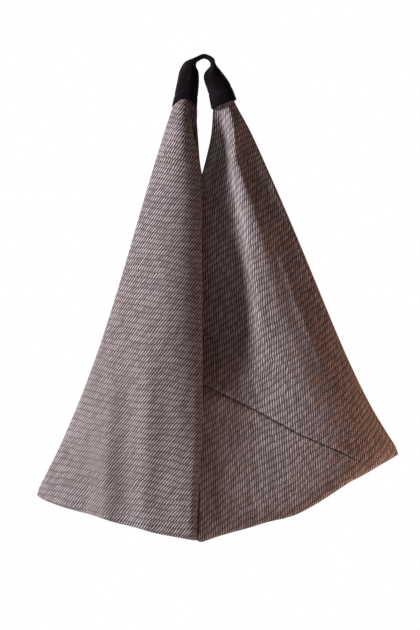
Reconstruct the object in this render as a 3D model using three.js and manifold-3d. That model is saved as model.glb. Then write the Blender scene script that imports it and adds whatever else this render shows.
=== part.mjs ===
// A horn bag: two cloth horns that hang from one sleeve, overlap at the front and back, and hold a folded floor.
// Millimetres, +Z up, +X to the viewer's right, -Y towards the viewer.
// The origin is the seat under the sleeve's crown, where the bag hangs.
import * as THREE from "three";
import { mergeVertices } from "three/addons/utils/BufferGeometryUtils.js";
import Module from "manifold-3d";

const wasm = await Module();
wasm.setup();

// Cloth and fits
const clearance = 0.4;
const clothWall = 3;

// Sleeve that joins the two horns
const crownRadius = 9.5;
const crownFacets = 5;
const sleeveWall = 1.8;
const crownWall = 3.4;
const sleeveWidth = 30;
const legTopHalfWidth = 6;
const mouthHalfWidth = 14.4;
const mouthHalfDepth = 10;
const legDrop = 54;
const neckGap = 16;
const cuffHeight = 8;
const cuffWall = 1.2;
const hornTipHeight = 26;

// Bag body
const leftReach = 189;
const leftLean = 40;
const leftCornerDrop = 501;
const leftBellyReach = 110;
const leftBellyDrop = 526;
const leftTuckDrop = 530;
const leftTuckCornerDrop = 504;
const rightReach = 222;
const rightLean = 25;
const rightCornerDrop = 456;
const rightBellyReach = 107;
const rightBellyDrop = 534;
const rightTuckDrop = 536;
const rightTuckCornerDrop = 457;
const coverBellyDepth = 95;
const tuckBellyDepth = 80;
const tuckBellyShare = 0.42;
const tuckCornerDepth = 75;
const tuckCornerShare = 0.92;
const keelDepth = 110;
const keelDrop = 546;
const keelSink = 3;
const keelSkew = 0.085;
const tuckDepth = 18;
const keelGap = 0.9;
const lipReach = 15;
const lipStepIn = 7;
const tuckReach = 5;
const floorSag = 6;

// Folds of the walls
const coverBulge = 2;
const shoulderStart = 0.38;
const shoulderShare = 0.115;
const leftEdgeBow = 12.5;
const leftBowLag = 1.4;
const leftFlare = 0;
const rightEdgeBow = 8.5;
const rightBowLag = 2.4;
const rightFlare = 3;
const recessDepth = 23;
const stepDepth = 16;
const stepStart = 0.32;
const stepEnd = 0.5;
const ridgeHeight = 16;
const lowRidgeHeight = 6;
const ridgePlace = 0.57;
const ridgeDrift = 0.2;
const ridgeSpread = 0.11;
const lowRidgeSpread = 0.2;
const tuckUnder = 15;
const rightTuckStart = 0.035;
const leftTuckStart = 0.11;
const tuckRun = 0.2;

// Hems, seam and mouth
const hemRadius = 4;
const threadRadius = 0.5;
const mouthEnd = 0.665;
const seamRise = 0.25;
const seamCurve = 0.26;
const seamEnd = 0.73;

const clothMaterial = new THREE.MeshStandardMaterial({ color: 0x8a7b7b, roughness: 0.95, metalness: 0 });
const shadedClothMaterial = new THREE.MeshStandardMaterial({ color: 0x6d5a53, roughness: 0.95, metalness: 0 });
const sleeveMaterial = new THREE.MeshStandardMaterial({ color: 0x141114, roughness: 0.9, metalness: 0 });
const threadMaterial = new THREE.MeshStandardMaterial({ color: 0x3b2f2c, roughness: 0.8, metalness: 0 });

const mouthCentre = neckGap / 2 + mouthHalfWidth;
const facetAngle = Math.PI / crownFacets;
const crownDrop = crownRadius * Math.cos(facetAngle / 2);
const knuckleRadius = sleeveWidth / 2;
const legTop = -crownDrop - clearance;
const legTopCentre = crownRadius + legTopHalfWidth;
const legTopReach = crownRadius + 2 * legTopHalfWidth;
const swingAxisHeight = legTop - knuckleRadius;
const hornTop = -legDrop - clearance;

// What the two walls of one side share: the corner, which leans towards the smooth wall, the bellies of the lower
// edges, the bow and flare of the outer edge and the height where the inner edge starts to tuck under.
const leftSide = {
  reach: leftReach,
  lean: leftLean,
  cornerDrop: leftCornerDrop,
  bellyReach: leftBellyReach,
  bellyDrop: leftBellyDrop,
  tuckDrop: leftTuckDrop,
  tuckCornerDrop: leftTuckCornerDrop,
  bow: leftEdgeBow,
  lag: leftBowLag,
  flare: leftFlare,
  tuckStart: leftTuckStart,
};
const rightSide = {
  reach: rightReach,
  lean: rightLean,
  cornerDrop: rightCornerDrop,
  bellyReach: rightBellyReach,
  bellyDrop: rightBellyDrop,
  tuckDrop: rightTuckDrop,
  tuckCornerDrop: rightTuckCornerDrop,
  bow: rightEdgeBow,
  lag: rightBowLag,
  flare: rightFlare,
  tuckStart: rightTuckStart,
};

function smoothStep(from, to, value) {
  const t = THREE.MathUtils.clamp((value - from) / (to - from), 0, 1);
  return t * t * (3 - 2 * t);
}

function hump(value, place, spread) {
  return Math.exp(-(((value - place) / spread) ** 2));
}

function bezier(start, belly, end, t) {
  return new THREE.QuadraticBezierCurve3(start, belly, end).getPoint(t);
}

// A half turn about the vertical axis carries the front of the bag to its back.
function turned(point) {
  return new THREE.Vector3(-point.x, -point.y, point.z);
}

function mouthPoint(side, angle) {
  const x = side * mouthCentre + mouthHalfWidth * Math.cos(angle);
  return new THREE.Vector3(x, mouthHalfDepth * Math.sin(angle), hornTop);
}

// How far a side's outer edge is moved out: it flares under the sleeve and bows in lower down.
function edgeShift(side, down) {
  return side.flare * smoothStep(0, 0.08, down) - side.bow * Math.sin(Math.PI * down ** side.lag);
}

// The smooth wall, from its lip at the middle (across 0) to the outer fold (across 1), and from the horn down.
// Towards the lip it turns away in a wide shoulder.
function coverPoint(across, down, side) {
  const lipAngle = -0.38 * Math.PI;
  const mouth = mouthPoint(-1, THREE.MathUtils.lerp(lipAngle, -Math.PI, across));
  const keel = new THREE.Vector3(-lipReach, -keelDepth, -keelDrop);
  const belly = new THREE.Vector3(-side.bellyReach, -coverBellyDepth, -side.bellyDrop);
  const corner = new THREE.Vector3(-side.reach, -side.lean, -side.cornerDrop);
  const point = mouth.lerp(bezier(keel, belly, corner, across), down);
  const width = THREE.MathUtils.lerp(2 * mouthHalfWidth, side.reach - lipReach, down);
  const shoulder = Math.max(1 - across / shoulderStart, 0) ** 2 * (1 - 0.95 * smoothStep(0.45, 0.9, down));
  point.x -= across * edgeShift(side, down);
  point.x += lipStepIn * (1 - across) ** 2 * smoothStep(0.05, 0.2, down) * (1 - smoothStep(0.7, 1, down));
  point.y -= coverBulge * Math.sin(Math.PI * across) * Math.sin(Math.PI * down);
  point.y += shoulderShare * width * shoulder;
  return point;
}

// The tucked wall before its folds, from its inner edge behind the lip (across 0) to the outer fold (across 1).
function tuckBase(across, down, side) {
  const mouth = mouthPoint(1, THREE.MathUtils.lerp(-Math.PI, 0, across));
  const lowerEdge = new THREE.CubicBezierCurve3(
    new THREE.Vector3(-tuckReach, tuckDepth - keelDepth, -keelDrop - keelSink),
    new THREE.Vector3(tuckBellyShare * side.reach, -tuckBellyDepth, -side.tuckDrop),
    new THREE.Vector3(tuckCornerShare * side.reach, -tuckCornerDepth, -side.tuckCornerDrop),
    new THREE.Vector3(side.reach, side.lean, -side.cornerDrop),
  );
  const point = mouth.lerp(lowerEdge.getPoint(across), down);
  point.x += across * edgeShift(side, down);
  return point;
}

// How far the tucked wall hangs back behind the lip, at a place between its inner edge (0) and the outer fold (1).
function recess(place, down) {
  const slowed = THREE.MathUtils.lerp(0.72, 1, smoothStep(0.3, 0.46, down));
  const opened = smoothStep(-0.05, 0.2, down) * (1 - 0.92 * smoothStep(0.55, 0.86, down)) * slowed;
  const step = stepDepth * (1 - smoothStep(stepStart, stepEnd, place));
  return (recessDepth * (1 - 0.3 * place) * (1 - place ** 8) + step) * opened;
}

// How far the ridge beside the recess stands forward.
function ridge(place, down) {
  const folded = smoothStep(0, 0.16, down) * (1 - smoothStep(0.55, 1, down));
  const lower = smoothStep(0.15, 0.6, down);
  const height = THREE.MathUtils.lerp(ridgeHeight, lowRidgeHeight, lower);
  const spread = THREE.MathUtils.lerp(ridgeSpread, lowRidgeSpread, lower);
  return height * hump(place, ridgePlace + ridgeDrift * down, spread) * folded;
}

// The depth where there is room for it, and softly less where there is not.
function within(depth, room) {
  return depth / (1 + (depth / Math.max(room, clearance)) ** 6) ** (1 / 6);
}

function tuckPoint(across, down, side) {
  const point = tuckBase(across, down, side);
  const inner = tuckBase(0, down, side).x;
  const place = (point.x - inner) / (tuckBase(1, down, side).x - inner);
  const tuckEnd = side.tuckStart + tuckRun;
  const crossed = smoothStep(side.tuckStart, tuckEnd, down) * (1 - smoothStep(tuckEnd, 1, down));
  point.x -= tuckUnder * (1 - across) ** 5 * crossed;
  point.y += within(recess(place, down), -clothWall - 2 * clearance - point.y) - ridge(place, down);
  return point;
}

// The seam climbs from the end of the mouth to the outer corner.
function seamDown(across) {
  return mouthEnd + seamRise * across + seamCurve * across ** 2;
}

const leftCover = (across, down) => coverPoint(across, down, leftSide);
const rightTuck = (across, down) => tuckPoint(across, down, rightSide);
const rightCover = (across, down) => turned(coverPoint(across, down, rightSide));
const leftTuck = (across, down) => turned(tuckPoint(across, down, leftSide));

function facingOut(geometry) {
  const place = geometry.getAttribute("position");
  const index = geometry.index.array;
  const corners = [new THREE.Vector3(), new THREE.Vector3(), new THREE.Vector3()];
  let volume = 0;
  for (let i = 0; i < index.length; i += 3) {
    corners.forEach((corner, k) => corner.fromBufferAttribute(place, index[i + k]));
    volume += corners[0].dot(corners[1].cross(corners[2]));
  }
  if (volume < 0) index.reverse();
  return geometry;
}

function indexed(points, triangles) {
  const geometry = new THREE.BufferGeometry().setFromPoints(points);
  return facingOut(geometry.setIndex(triangles));
}

// A closed sheet: a grid of points, the same grid moved by the inward step, and a rim between the two.
function sheetGeometry(point, span, inward, columns, rows) {
  const { from = 0, to = 1, top = () => 0, bottom = () => 1, outward = new THREE.Vector3() } = span;
  const outer = [];
  for (let i = 0; i <= columns; i++) {
    const across = THREE.MathUtils.lerp(from, to, i / columns);
    for (let j = 0; j <= rows; j++) {
      outer.push(point(across, THREE.MathUtils.lerp(top(across), bottom(across), j / rows)));
    }
  }
  const count = outer.length;
  const points = [...outer.map((p) => p.clone().add(outward)), ...outer.map((p) => p.clone().add(inward))];
  const at = (i, j) => i * (rows + 1) + j;
  const triangles = [];
  const quad = (a, b, c, d) => triangles.push(a, b, c, a, c, d);
  for (let i = 0; i < columns; i++) {
    for (let j = 0; j < rows; j++) {
      quad(at(i, j), at(i + 1, j), at(i + 1, j + 1), at(i, j + 1));
      quad(count + at(i, j), count + at(i, j + 1), count + at(i + 1, j + 1), count + at(i + 1, j));
    }
    quad(at(i + 1, 0), at(i, 0), count + at(i, 0), count + at(i + 1, 0));
    quad(at(i, rows), at(i + 1, rows), count + at(i + 1, rows), count + at(i, rows));
  }
  for (let j = 0; j < rows; j++) {
    quad(at(0, j), at(0, j + 1), count + at(0, j + 1), count + at(0, j));
    quad(at(columns, j + 1), at(columns, j), count + at(columns, j), count + at(columns, j + 1));
  }
  return indexed(points, triangles);
}

// A closed body through a row of rings, each an ellipse at one height.
function ringGeometry(rings, sides = 20) {
  const points = [];
  for (const { x, z, halfWidth, halfDepth } of rings) {
    for (let k = 0; k < sides; k++) {
      const angle = (2 * Math.PI * k) / sides;
      points.push(new THREE.Vector3(x + halfWidth * Math.cos(angle), halfDepth * Math.sin(angle), z));
    }
  }
  const triangles = [];
  for (let r = 0; r + 1 < rings.length; r++) {
    for (let k = 0; k < sides; k++) {
      const next = (k + 1) % sides;
      const [a, b] = [r * sides + k, r * sides + next];
      triangles.push(a, b, b + sides, a, b + sides, a + sides);
    }
  }
  const last = (rings.length - 1) * sides;
  for (let k = 1; k + 1 < sides; k++) {
    triangles.push(0, k + 1, k, last, last + k, last + k + 1);
  }
  return indexed(points, triangles);
}

function tubeGeometry(points, radius, sides, steps) {
  const section = new THREE.Shape();
  for (let k = 0; k < sides; k++) {
    const angle = (2 * Math.PI * k) / sides;
    const [x, y] = [radius * Math.cos(angle), radius * Math.sin(angle)];
    if (k) section.lineTo(x, y);
    else section.moveTo(x, y);
  }
  const extrudePath = new THREE.CatmullRomCurve3(points);
  return new THREE.ExtrudeGeometry(section, { steps, extrudePath, bevelEnabled: false });
}

function toSolid(geometry) {
  const bare = new THREE.BufferGeometry().setAttribute("position", geometry.getAttribute("position"));
  if (geometry.index) bare.setIndex(geometry.index);
  const merged = mergeVertices(bare, 1e-4);
  const vertProperties = new Float32Array(merged.getAttribute("position").array);
  const triVerts = new Uint32Array(merged.index.array);
  return new wasm.Manifold(new wasm.Mesh({ numProp: 3, vertProperties, triVerts }));
}

function toGeometry(solid) {
  const { vertProperties, triVerts } = solid.getMesh();
  const geometry = new THREE.BufferGeometry();
  geometry.setAttribute("position", new THREE.BufferAttribute(vertProperties, 3));
  return geometry.setIndex(new THREE.BufferAttribute(triVerts, 1));
}

// One piece fitted against its neighbours: their thickened copies are cut away and the main body stays.
function fitted(geometry, neighbours) {
  let solid = toSolid(geometry);
  for (const neighbour of neighbours) solid = solid.subtract(toSolid(neighbour));
  const bodies = solid.decompose();
  bodies.sort((a, b) => b.volume() - a.volume());
  return toGeometry(bodies[0]);
}

const bag = new THREE.Group();

function add(name, geometry, material) {
  geometry.computeVertexNormals();
  const mesh = new THREE.Mesh(geometry, material);
  mesh.name = name;
  bag.add(mesh);
}

function along(from, to, count, point) {
  return Array.from({ length: count + 1 }, (unused, k) => point(THREE.MathUtils.lerp(from, to, k / count)));
}

// Sleeve: the crown is a faceted arch with a flat seat on top of its inside.
function addCrown() {
  const arch = new THREE.Shape();
  const rise = (crownDrop + crownWall) / Math.cos(facetAngle / 2);
  const corner = (halfWidth, height, k) => {
    return [halfWidth * Math.cos(k * facetAngle), height * Math.sin(k * facetAngle) - crownDrop];
  };
  arch.moveTo(...corner(legTopReach, rise, 0));
  for (let k = 1; k <= crownFacets; k++) arch.lineTo(...corner(legTopReach, rise, k));
  for (let k = crownFacets; k >= 0; k--) arch.lineTo(...corner(crownRadius, crownRadius, k));
  const geometry = new THREE.ExtrudeGeometry(arch, { depth: sleeveWidth, bevelEnabled: false });
  geometry.translate(0, 0, -sleeveWidth / 2);
  geometry.rotateX(Math.PI / 2);
  add("sleeve_crown", geometry, sleeveMaterial);
}

function legRing(side, z, shrink = 0) {
  const down = (legTop - z) / (legTop + legDrop);
  const rounded = Math.sqrt(Math.max(knuckleRadius ** 2 - (z - swingAxisHeight) ** 2, 0));
  const tapered = THREE.MathUtils.lerp(knuckleRadius, mouthHalfDepth, smoothStep(0.35, 1, down));
  return {
    x: side * THREE.MathUtils.lerp(legTopCentre, mouthCentre, down),
    z,
    halfWidth: THREE.MathUtils.lerp(legTopHalfWidth, mouthHalfWidth, smoothStep(-0.2, 0.6, down)) - shrink,
    halfDepth: (z > swingAxisHeight ? rounded : tapered) - shrink,
  };
}

function addLeg(name, side) {
  const outside = [0.03, 0.15, 0.4, 0.7].map((share) => legRing(side, legTop - share * knuckleRadius));
  const straight = along(swingAxisHeight, -legDrop, 4, (z) => legRing(side, z));
  const inside = along(-legDrop, -legDrop + hornTipHeight + clearance, 3, (z) => legRing(side, z, sleeveWall));
  add(name, ringGeometry([...outside, ...straight, ...inside]), sleeveMaterial);
}

function addHornTip(name, side) {
  const shrink = sleeveWall + clearance;
  const rings = along(-legDrop, -legDrop + hornTipHeight, 3, (z) => legRing(side, z, shrink));
  add(name, ringGeometry(rings), clothMaterial);
}

function addCuff(name, side) {
  const band = (z, shrink) => legRing(side, z, shrink);
  const top = -legDrop + cuffHeight;
  const inner = along(-legDrop, top, 2, (z) => band(z, -clearance));
  const outer = along(top, -legDrop, 2, (z) => band(z, -clearance - cuffWall));
  const whole = toSolid(ringGeometry(outer));
  const reach = (ring, step) => ({ ...ring, z: ring.z + step });
  const bore = ringGeometry([reach(inner[0], -clearance), ...inner, reach(inner[2], clearance)]);
  add(name, toGeometry(whole.subtract(toSolid(bore))), sleeveMaterial);
}

const inwardAtFront = new THREE.Vector3(0, clothWall, 0);
const inwardAtBack = new THREE.Vector3(0, -clothWall, 0);
const fitReach = 1 + clothWall / rightReach;
const fitMargin = 2 * clearance;
const fitSpan = (inward) => {
  return { to: fitReach, bottom: () => fitReach, outward: inward.clone().setLength(-fitMargin) };
};
const fitInward = (inward) => inward.clone().setLength(clothWall + fitMargin);

const coverColumns = 14;
const tuckColumns = 24;
const wallRows = 16;
const coverGeometry = (point, inward) => sheetGeometry(point, {}, inward, coverColumns, wallRows);
const fitSheet = (point, inward, columns) => {
  return sheetGeometry(point, fitSpan(inward), fitInward(inward), columns, wallRows);
};

// A tucked wall is sewn from two pieces: the wall above the seam and the corner below it.
function addTuckedWall(names, point, inward, cover) {
  const seamGap = (threadRadius + 2 * clearance) / (keelDrop - legDrop);
  const upper = { bottom: (across) => Math.min(seamDown(across) - seamGap, 1) };
  const lower = { top: (across) => seamDown(across) + seamGap, to: seamEnd };
  add(names.panel, fitted(sheetGeometry(point, upper, inward, tuckColumns, 12), [cover]), shadedClothMaterial);
  add(names.corner, fitted(sheetGeometry(point, lower, inward, tuckColumns, 5), [cover]), shadedClothMaterial);
  const half = inward.clone().multiplyScalar(0.5);
  const line = along(0.01, seamEnd, tuckColumns, (across) => point(across, seamDown(across)).add(half));
  add(names.thread, tubeGeometry(line, threadRadius, 6, 2 * tuckColumns), threadMaterial);
}

// The floor's half hangs between the lower edges of its two walls and stops short of the keel fold.
function addFloor(name, cover, tuck, side, walls) {
  const up = new THREE.Vector3(0, 0, clothWall);
  const floorPoint = (across, back) => {
    const point = cover(across, 1).lerp(tuck(across, 1), back);
    const edge = cover(0, 1).lerp(tuck(0, 1), back);
    const toKeel = keelSkew * edge.y + (side * keelGap) / 2 - edge.x;
    point.x += toKeel * (1 - across) ** 6 * smoothStep(0, 0.1, back);
    point.z -= floorSag * Math.sin(Math.PI * back) * (1 - across);
    return point;
  };
  const floor = sheetGeometry(floorPoint, { to: 0.96 }, up, 12, 10);
  add(name, fitted(floor, walls), clothMaterial);
}

function addHem(name, cover, side) {
  const line = along(0.01, mouthEnd, 12, (down) => {
    const point = cover(0, down);
    point.x += side * (hemRadius + clearance);
    point.y += side * (hemRadius - clearance);
    return point;
  });
  add(name, tubeGeometry(line, hemRadius, 8, 24), clothMaterial);
}

// Under the mouth the cloth folds back from the lip to the tucked wall's inner edge.
function addPleat(name, cover, tuck, side) {
  const fold = (back, down) => {
    const front = cover(0, down);
    front.x += side * (clothWall + 2 * clearance);
    front.y += side * clearance;
    const rear = tuck(0, down);
    rear.x -= side * clearance;
    rear.y += side * clothWall;
    rear.z = front.z;
    return front.lerp(rear, back);
  };
  const inward = new THREE.Vector3(-side * clothWall * 0.8, 0, 0);
  const bottom = 1 - (1.5 * clothWall + clearance) / (keelDrop - legDrop);
  const span = { top: () => mouthEnd + clearance / 100, bottom: () => bottom };
  add(name, sheetGeometry(fold, span, inward, 4, 8), clothMaterial);
}

addCrown();
for (const [word, side] of [["left", -1], ["right", 1]]) {
  addLeg(`sleeve_${word}_leg`, side);
  addHornTip(`${word}_horn_tip`, side);
  addCuff(`${word}_cuff`, side);
}

const leftCoverFit = fitSheet(leftCover, inwardAtFront, coverColumns);
const rightCoverFit = fitSheet(rightCover, inwardAtBack, coverColumns);
const leftTuckFit = fitSheet(leftTuck, inwardAtBack, tuckColumns);
const rightTuckFit = fitSheet(rightTuck, inwardAtFront, tuckColumns);

add("left_front_panel", coverGeometry(leftCover, inwardAtFront), clothMaterial);
add("right_back_panel", coverGeometry(rightCover, inwardAtBack), clothMaterial);
addTuckedWall(
  { panel: "right_front_panel", corner: "right_front_corner", thread: "front_seam_thread" },
  rightTuck,
  inwardAtFront,
  rightCoverFit,
);
addTuckedWall(
  { panel: "left_back_panel", corner: "left_back_corner", thread: "back_seam_thread" },
  leftTuck,
  inwardAtBack,
  leftCoverFit,
);
addFloor("left_base_panel", leftCover, leftTuck, -1, [leftCoverFit, leftTuckFit]);
addFloor("right_base_panel", rightCover, rightTuck, 1, [rightCoverFit, rightTuckFit]);
addHem("front_lip_hem", leftCover, 1);
addHem("back_lip_hem", rightCover, -1);
addPleat("front_pleat", leftCover, rightTuck, 1);
addPleat("back_pleat", rightCover, leftTuck, -1);

export default bag;
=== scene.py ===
# %% [markdown]
# # A horn bag with a black sleeve handle
# The bag is one long strip of coarse twill, folded so that its two ends rise as horns. A black cloth sleeve
# holds both horns together, and the bag hangs by it. The packed solids are loaded first and never moved:
# they fix where everything is, and the cloth made here stands for them.

# %% Load the frame
import math
from dataclasses import astuple, dataclass

import bmesh
import bpy
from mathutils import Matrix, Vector
from mathutils.noise import noise


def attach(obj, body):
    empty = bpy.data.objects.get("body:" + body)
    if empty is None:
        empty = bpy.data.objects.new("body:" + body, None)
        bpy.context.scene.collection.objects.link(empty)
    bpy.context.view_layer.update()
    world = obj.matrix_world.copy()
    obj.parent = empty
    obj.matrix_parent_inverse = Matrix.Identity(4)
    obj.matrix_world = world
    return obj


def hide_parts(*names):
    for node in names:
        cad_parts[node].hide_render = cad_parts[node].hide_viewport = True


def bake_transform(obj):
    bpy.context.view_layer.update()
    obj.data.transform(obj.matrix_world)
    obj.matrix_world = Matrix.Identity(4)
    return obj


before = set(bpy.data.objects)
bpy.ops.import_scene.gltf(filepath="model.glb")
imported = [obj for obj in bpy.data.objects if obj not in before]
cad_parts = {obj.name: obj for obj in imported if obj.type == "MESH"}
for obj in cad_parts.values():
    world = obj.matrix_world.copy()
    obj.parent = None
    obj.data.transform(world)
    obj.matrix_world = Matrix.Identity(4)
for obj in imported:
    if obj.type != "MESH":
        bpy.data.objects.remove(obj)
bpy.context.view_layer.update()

# %% [markdown]
# ## Small curves
# Cloth has no straight lines, so most shapes below are a plain form plus a few soft curves. A cloth
# simulation could find such curves by itself, but it would not put each fold where this bag has it. A soft
# step, a hump and curves drawn by three or four points are enough for all the folds.

# %% Curves that every piece uses


def mix(start, end, share):
    return start + (end - start) * share


def smooth_step(start, end, value):
    """Goes softly from 0 at start to 1 at end."""
    share = min(max((value - start) / (end - start), 0), 1)
    return share * share * (3 - 2 * share)


def window(span, value):
    """Goes softly up to 1 over the span's first two places, and back to 0 over its last two."""
    start, full, fade, end = span
    return smooth_step(start, full, value) * (1 - smooth_step(fade, end, value))


def hump(value, place, spread):
    return math.exp(-(((value - place) / spread) ** 2))


def three_point_curve(start, middle, end, share):
    return start.lerp(middle, share).lerp(middle.lerp(end, share), share)


def four_point_curve(start, second, third, end, share):
    first_part = three_point_curve(start, second, third, share)
    last_part = three_point_curve(second, third, end, share)
    return first_part.lerp(last_part, share)


print("a soft step, a quarter of the way along:", smooth_step(0, 1, 0.25))

# %% [markdown]
# ## Arithmetic on shader sockets
# A weave is a long sum of waves and steps. It could be wired up node by node, but that hides the sum.
# Wrapping a socket in a small class lets it be written as ordinary arithmetic, and each operation adds its
# own node.

# %% The socket class


class Wire:
    """One socket of a node tree. Arithmetic on it adds Math nodes."""

    def __init__(self, tree, socket=None):
        self.tree = tree
        self.socket = socket

    def node(self, kind, settings=None, inputs=None, output=0):
        """Adds a node: first its settings, then the values or links of its sockets."""
        made = self.tree.nodes.new(kind)
        for name, value in (settings or {}).items():
            setattr(made, name, value)
        for name, value in (inputs or {}).items():
            if isinstance(value, Wire):
                self.tree.links.new(value.socket, made.inputs[name])
            else:
                made.inputs[name].default_value = value
        return Wire(self.tree, made.outputs[output] if len(made.outputs) else None)

    def pick(self, output):
        return Wire(self.tree, self.socket.node.outputs[output])

    def math(self, operation, *values):
        return self.node("ShaderNodeMath", {"operation": operation}, dict(enumerate(values)))

    def __add__(self, other):
        return self.math("ADD", self, other)

    def __radd__(self, other):
        return self.math("ADD", other, self)

    def __sub__(self, other):
        return self.math("SUBTRACT", self, other)

    def __rsub__(self, other):
        return self.math("SUBTRACT", other, self)

    def __mul__(self, other):
        return self.math("MULTIPLY", self, other)

    def __rmul__(self, other):
        return self.math("MULTIPLY", other, self)

    def __truediv__(self, other):
        return self.math("DIVIDE", self, other)

    def floor(self):
        return self.math("FLOOR", self)

    def fraction(self):
        return self.math("FRACT", self)

    def wave(self):
        """A wave from 0 to 1 that repeats at each whole number."""
        return 0.5 + 0.5 * self.math("COSINE", self * math.tau)

    def step(self, start, end):
        """Goes softly from 0 at start to 1 at end."""
        limits = {"Value": self, "From Min": start, "From Max": end}
        return self.node("ShaderNodeMapRange", {"interpolation_type": "SMOOTHSTEP"}, limits)

    def blend(self, start, end):
        """A colour between start and end, with this socket as the share."""
        # A Mix node has the names A and B several times, so its colour sockets go by number.
        colours = {"Factor": self, 6: start, 7: end}
        return self.node("ShaderNodeMix", {"data_type": "RGBA"}, colours, output=2)

    def cloud(self, scale, detail=2.0):
        """Soft noise from 0 to 1, with this socket as the place."""
        return self.node("ShaderNodeTexNoise", inputs={"Vector": self, "Scale": scale, "Detail": detail})


print("a wire can also do:", [name for name in vars(Wire) if not name.startswith("__")])

# %% [markdown]
# ## How a cloth takes the light
# The cloths of this bag are matt: they scatter light, with hardly any gloss and a faint sheen from loose
# fibres. Their yarns could be modelled one by one, but there are thousands, so a bump node tilts the light
# instead. Colour and yarn height come from each cloth's own pattern.

# %% A cloth's surface
BUMP_STRENGTH = 0.8
CLOTH_GLOSS = 0.06
SHEEN_ROUGHNESS = 0.5


def new_material(name):
    """An empty material and the wire that its nodes are added from."""
    material = bpy.data.materials.new(name)
    material.use_nodes = True
    material.node_tree.nodes.clear()
    return material, Wire(material.node_tree)


def finish_cloth(wire, colour, height, depth, roughness, sheen):
    """Joins a cloth's colour and yarn height to its surface."""
    bump = wire.node("ShaderNodeBump", inputs={
        "Strength": BUMP_STRENGTH, "Distance": depth, "Height": height})
    surface = wire.node("ShaderNodeBsdfPrincipled", inputs={
        "Base Color": colour, "Roughness": roughness, "Normal": bump,
        "Sheen Weight": sheen, "Sheen Roughness": SHEEN_ROUGHNESS, "Specular IOR Level": CLOTH_GLOSS})
    wire.node("ShaderNodeOutputMaterial", inputs={"Surface": surface})


print("gloss of every cloth:", CLOTH_GLOSS)

# %% [markdown]
# ## The coarse twill
# Close up, the cloth is rows of slanted yarns: short light strokes that line up from row to row, with a
# dark line between the rows. A pattern in space would cut through the folds, so the strokes are worked out
# from each point's flat place on the cloth, in metres, which the piece's own map gives. They keep their
# size and follow the folds. On the folded walls the turned cloth is pulled along its yarns and the strokes
# are fainter, so a second value on each corner fades them there.

# %% The bag's cloth
MAP_NAME = "cloth"
PULL_NAME = "pulled"
ROW_HEIGHT = 0.0066
ROW_DRIFT = 0.6
ROW_WANDER = 2.0
ROW_SLIP = 0.3
ROW_EDGE = 0.3
YARN_PITCH = 0.00313
YARN_SLANT = 0.62
YARN_DRIFT = 0.7
STROKE_EDGES = (0.15, 0.8)
STROKE_MEAN = 0.48
STROKE_LIGHT = 0.65
STROKE_CHANCE = 0.6
PULLED_FADE = 0.32
FUZZ_SHADE = 0.6
FUZZ_HEIGHT = 0.25
PATCH_EDGES = (0.35, 0.7)
CLOTH_LIGHT = (0.555, 0.495, 0.525, 1)
CLOTH_WARM = (0.53, 0.46, 0.47, 1)
CLOTH_DARK = (0.04, 0.027, 0.026, 1)


def twill_strokes(wire, flat):
    """The height of the yarns, from 0 to 1, and a chance value of each stroke's own."""
    parts = wire.node("ShaderNodeSeparateXYZ", inputs={0: flat})
    across, up = parts.pick("X"), parts.pick("Y")
    drift = flat.cloud(scale=90.0)
    row = up / ROW_HEIGHT + ROW_DRIFT * drift + ROW_WANDER * flat.cloud(scale=16.0, detail=1.0)
    row_number = row.floor()
    in_row = row.fraction()
    slip = wire.node("ShaderNodeTexWhiteNoise", {"noise_dimensions": "1D"}, {"W": row_number})
    yarn = (across - YARN_SLANT * up) / YARN_PITCH + YARN_DRIFT * drift + ROW_SLIP * slip
    spot = wire.node("ShaderNodeCombineXYZ", inputs={"X": (yarn + 0.5).floor(), "Y": row_number})
    chance = wire.node("ShaderNodeTexWhiteNoise", {"noise_dimensions": "2D"}, {"Vector": spot})
    pulled = wire.node("ShaderNodeAttribute", {"attribute_name": PULL_NAME}, output="Fac")
    stroke = yarn.wave().step(*STROKE_EDGES)
    stroke = stroke + PULLED_FADE * pulled * (STROKE_MEAN - stroke)
    row_middle = in_row.step(0, ROW_EDGE) * (1 - in_row.step(1 - ROW_EDGE, 1))
    return stroke * (0.5 + 0.5 * row_middle), chance


def make_twill():
    material, wire = new_material("coarse twill")
    flat = wire.node("ShaderNodeUVMap", {"uv_map": MAP_NAME})
    height, chance = twill_strokes(wire, flat)
    fuzz = flat.cloud(scale=1800.0, detail=3.0)
    patch = flat.cloud(scale=14.0, detail=3.0)
    lightness = height * (STROKE_LIGHT + STROKE_CHANCE * chance) + FUZZ_SHADE * (fuzz - 0.5)
    yarn_colour = patch.step(*PATCH_EDGES).blend(CLOTH_LIGHT, CLOTH_WARM)
    colour = lightness.blend(CLOTH_DARK, yarn_colour)
    finish_cloth(wire, colour, height + FUZZ_HEIGHT * fuzz, depth=0.0023, roughness=0.92, sheen=0.06)
    return material


twill = make_twill()
print("twill nodes:", len(twill.node_tree.nodes))

# %% [markdown]
# ## The black cloth and the thread
# The sleeve is a fine black cloth, nearly without gloss. One flat black would look like a hole, so it has a
# faint plain weave and some dust. The seams are sewn with a dark brown thread, whose twist is a fine noise.

# %% The sleeve's cloth and the sewing thread
FINE_PITCH = 0.0011
FINE_WEAVE = 0.45
DUST = 0.9
DUST_EDGES = (0.4, 0.75)
BLACK = (0.0035, 0.0025, 0.0037, 1)
BLACK_WORN = (0.014, 0.0105, 0.0145, 1)
THREAD_DARK = (0.05, 0.036, 0.032, 1)
THREAD_LIGHT = (0.13, 0.1, 0.09, 1)


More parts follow.
